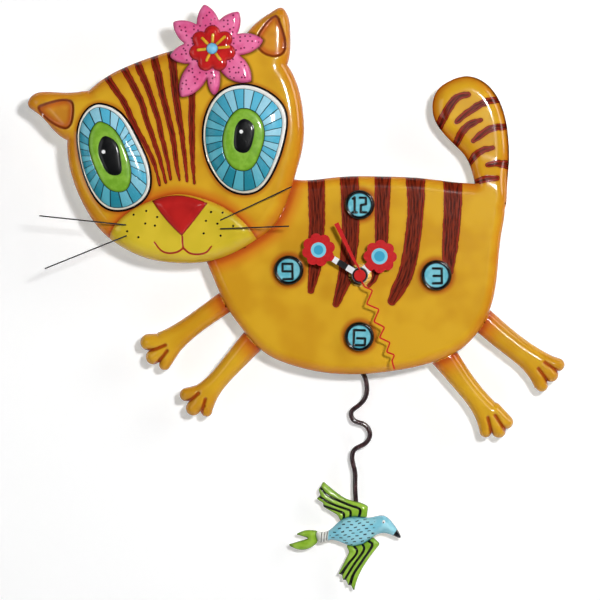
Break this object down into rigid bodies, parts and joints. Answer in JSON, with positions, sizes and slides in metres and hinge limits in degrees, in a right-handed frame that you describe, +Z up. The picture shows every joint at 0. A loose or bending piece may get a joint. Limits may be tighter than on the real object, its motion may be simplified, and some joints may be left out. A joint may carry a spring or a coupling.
{
  "type": "pendulum wall clock",
  "caption": "Quartz wall clock shaped as a running cat with a raised head and domed eyes, round hour buttons, flower hands and a bird pendulum on a wavy rod.",
  "frame": {"origin": "centre of the keyhole in the hanger plate, on the plate's back face, where the wall screw's shank holds the clock", "axes": "+Z up, +Y into the wall behind the clock, -Y towards the viewer, +X to the viewer's right"},
  "size_m": [0.3065, 0.0384, 0.3362],
  "materials": {
    "body_lacquer": "hand-painted golden yellow over cast resin, shaded orange at the rims, gloss lacquer",
    "muzzle_lacquer": "paler yellow paint, gloss lacquer",
    "eye_paint": "painted blue rings, green iris and black pupil under gloss lacquer",
    "nose_paint": "red paint, gloss lacquer",
    "whisker_wire": "black painted steel wire",
    "petal_paint": "pink paint with dark dots, gloss lacquer",
    "blossom_paint": "red paint, gloss lacquer",
    "stamen_paint": "yellow paint, gloss lacquer",
    "bead_paint": "light blue paint, gloss lacquer",
    "button_paint": "black rim, light blue face and black numeral, gloss lacquer",
    "hand_print": "printed sheet metal, red flower on a black and white stem",
    "second_hand_paint": "red painted sheet metal",
    "rod_paint": "dark brown painted wire",
    "bird_blue_paint": "light blue paint with dark marks, gloss lacquer",
    "bird_green_paint": "green paint, gloss lacquer",
    "polished_brass": "turned and polished",
    "plated_steel": "zinc plated",
    "case_plastic": "fine spark-eroded texture",
    "knob_plastic": "light grey",
    "gear_plastic": "natural acetal",
    "plate_plastic": "pale grey",
    "arm_plastic": "white",
    "board_laminate": "green laminate",
    "chip_resin": "black potting resin",
    "crystal_can": "tinned can",
    "soft_iron": "soft magnetic iron, plated",
    "copper_winding": "enamelled copper wire",
    "ferrite": "sintered magnet",
    "cell_sleeve": "plain printed sleeve over a steel can"
  },
  "bodies": {
    "clock": {"body_casting": "body_lacquer", "head_casting": "body_lacquer", "muzzle": "muzzle_lacquer", "left_eye": "eye_paint", "right_eye": "eye_paint", "nose": "nose_paint", "whisker_left_upper": "whisker_wire", "whisker_left_lower": "whisker_wire", "whisker_right_upper": "whisker_wire", "whisker_right_lower": "whisker_wire", "flower_petals": "petal_paint", "flower_blossom": "blossom_paint", "flower_stamens": "stamen_paint", "flower_bead": "bead_paint", "hour_button_12": "button_paint", "hour_button_3": "button_paint", "hour_button_6": "button_paint", "hour_button_9": "button_paint", "shaft_bushing": "polished_brass", "hub_washer": "polished_brass", "hub_nut": "polished_brass", "hanger_plate": "plated_steel", "hanger_screws": "plated_steel", "pivot_pin": "plated_steel", "contact_plus": "plated_steel", "contact_minus": "plated_steel", "movement_case": "case_plastic", "back_cover": "case_plastic", "gear_plate": "plate_plastic", "circuit_board": "board_laminate", "timing_chip": "chip_resin", "quartz_crystal": "crystal_can", "motor_stator": "soft_iron", "coil_core": "soft_iron", "motor_coil": "copper_winding", "drive_coil": "copper_winding"},
    "battery": {"battery_cell": "cell_sleeve"},
    "rotor": {"rotor_pinion": "gear_plastic", "rotor_magnet": "ferrite"},
    "step_gear": {"step_wheel": "gear_plastic"},
    "second_hand_arbor": {"seconds_wheel": "gear_plastic", "second_hand": "second_hand_paint"},
    "third_gear": {"third_wheel": "gear_plastic"},
    "centre_gear": {"centre_wheel": "gear_plastic"},
    "minute_hand_arbor": {"minute_arbor": "polished_brass", "minute_hand": "hand_print"},
    "hour_hand_pipe": {"hour_wheel": "gear_plastic", "hour_hand": "hand_print"},
    "minute_gear": {"minute_wheel": "gear_plastic"},
    "setting_shaft": {"setting_stem": "gear_plastic", "setting_knob": "knob_plastic"},
    "pendulum": {"pendulum_arm": "arm_plastic", "drive_magnet": "ferrite", "pendulum_rod": "rod_paint", "bird_body": "bird_blue_paint", "bird_upper_wing": "bird_green_paint", "bird_lower_wing": "bird_green_paint", "bird_tail": "bird_green_paint"}
  },
  "joints": [
    {"name": "battery_lift", "type": "slide", "parent": "clock", "child": "battery", "axis": [0, 1, 0], "range_m": [0, 0.02]},
    {"name": "second_hand_turn", "type": "hinge", "parent": "clock", "child": "second_hand_arbor", "pos_m": [0.039, -0.0092, -0.0435], "axis": [0, 1, 0], "continuous": true},
    {"name": "step_wheel_turn", "type": "hinge", "parent": "clock", "child": "step_gear", "pos_m": [0.03121, 0.0008, -0.039], "axis": [0, 1, 0], "continuous": true},
    {"name": "rotor_turn", "type": "hinge", "parent": "clock", "child": "rotor", "pos_m": [0.02281, 0.0018, -0.03871], "axis": [0, 1, 0], "continuous": true},
    {"name": "third_wheel_turn", "type": "hinge", "parent": "clock", "child": "third_gear", "pos_m": [0.04763, 0.0008, -0.04036], "axis": [0, 1, 0], "continuous": true},
    {"name": "centre_wheel_turn", "type": "hinge", "parent": "clock", "child": "centre_gear", "pos_m": [0.039, -0.0012, -0.0435], "axis": [0, 1, 0], "continuous": true},
    {"name": "minute_hand_turn", "type": "hinge", "parent": "clock", "child": "minute_hand_arbor", "pos_m": [0.039, -0.0132, -0.0435], "axis": [0, 1, 0], "continuous": true},
    {"name": "minute_wheel_turn", "type": "hinge", "parent": "clock", "child": "minute_gear", "pos_m": [0.03054, -0.0042, -0.04658], "axis": [0, 1, 0], "continuous": true},
    {"name": "hour_hand_turn", "type": "hinge", "parent": "clock", "child": "hour_hand_pipe", "pos_m": [0.039, -0.0132, -0.0435], "axis": [0, 1, 0], "continuous": true},
    {"name": "setting_knob_turn", "type": "hinge", "parent": "clock", "child": "setting_shaft", "pos_m": [0.02317, 0.0008, -0.05174], "axis": [0, 1, 0], "continuous": true},
    {"name": "pendulum_swing", "type": "hinge", "parent": "clock", "child": "pendulum", "pos_m": [0.036, 0.0018, -0.0605], "axis": [0, 1, 0], "range_deg": [-10, 10]}
  ],
  "couplings": [
    {"joint": "step_wheel_turn", "follows": "second_hand_turn", "ratio": -5},
    {"joint": "rotor_turn", "follows": "second_hand_turn", "ratio": 30},
    {"joint": "third_wheel_turn", "follows": "second_hand_turn", "ratio": -0.13333},
    {"joint": "centre_wheel_turn", "follows": "second_hand_turn", "ratio": 0.016667},
    {"joint": "minute_wheel_turn", "follows": "minute_hand_turn", "ratio": -0.33333},
    {"joint": "hour_hand_turn", "follows": "minute_hand_turn", "ratio": 0.083333},
    {"joint": "setting_knob_turn", "follows": "minute_hand_turn", "ratio": 1}
  ]
}
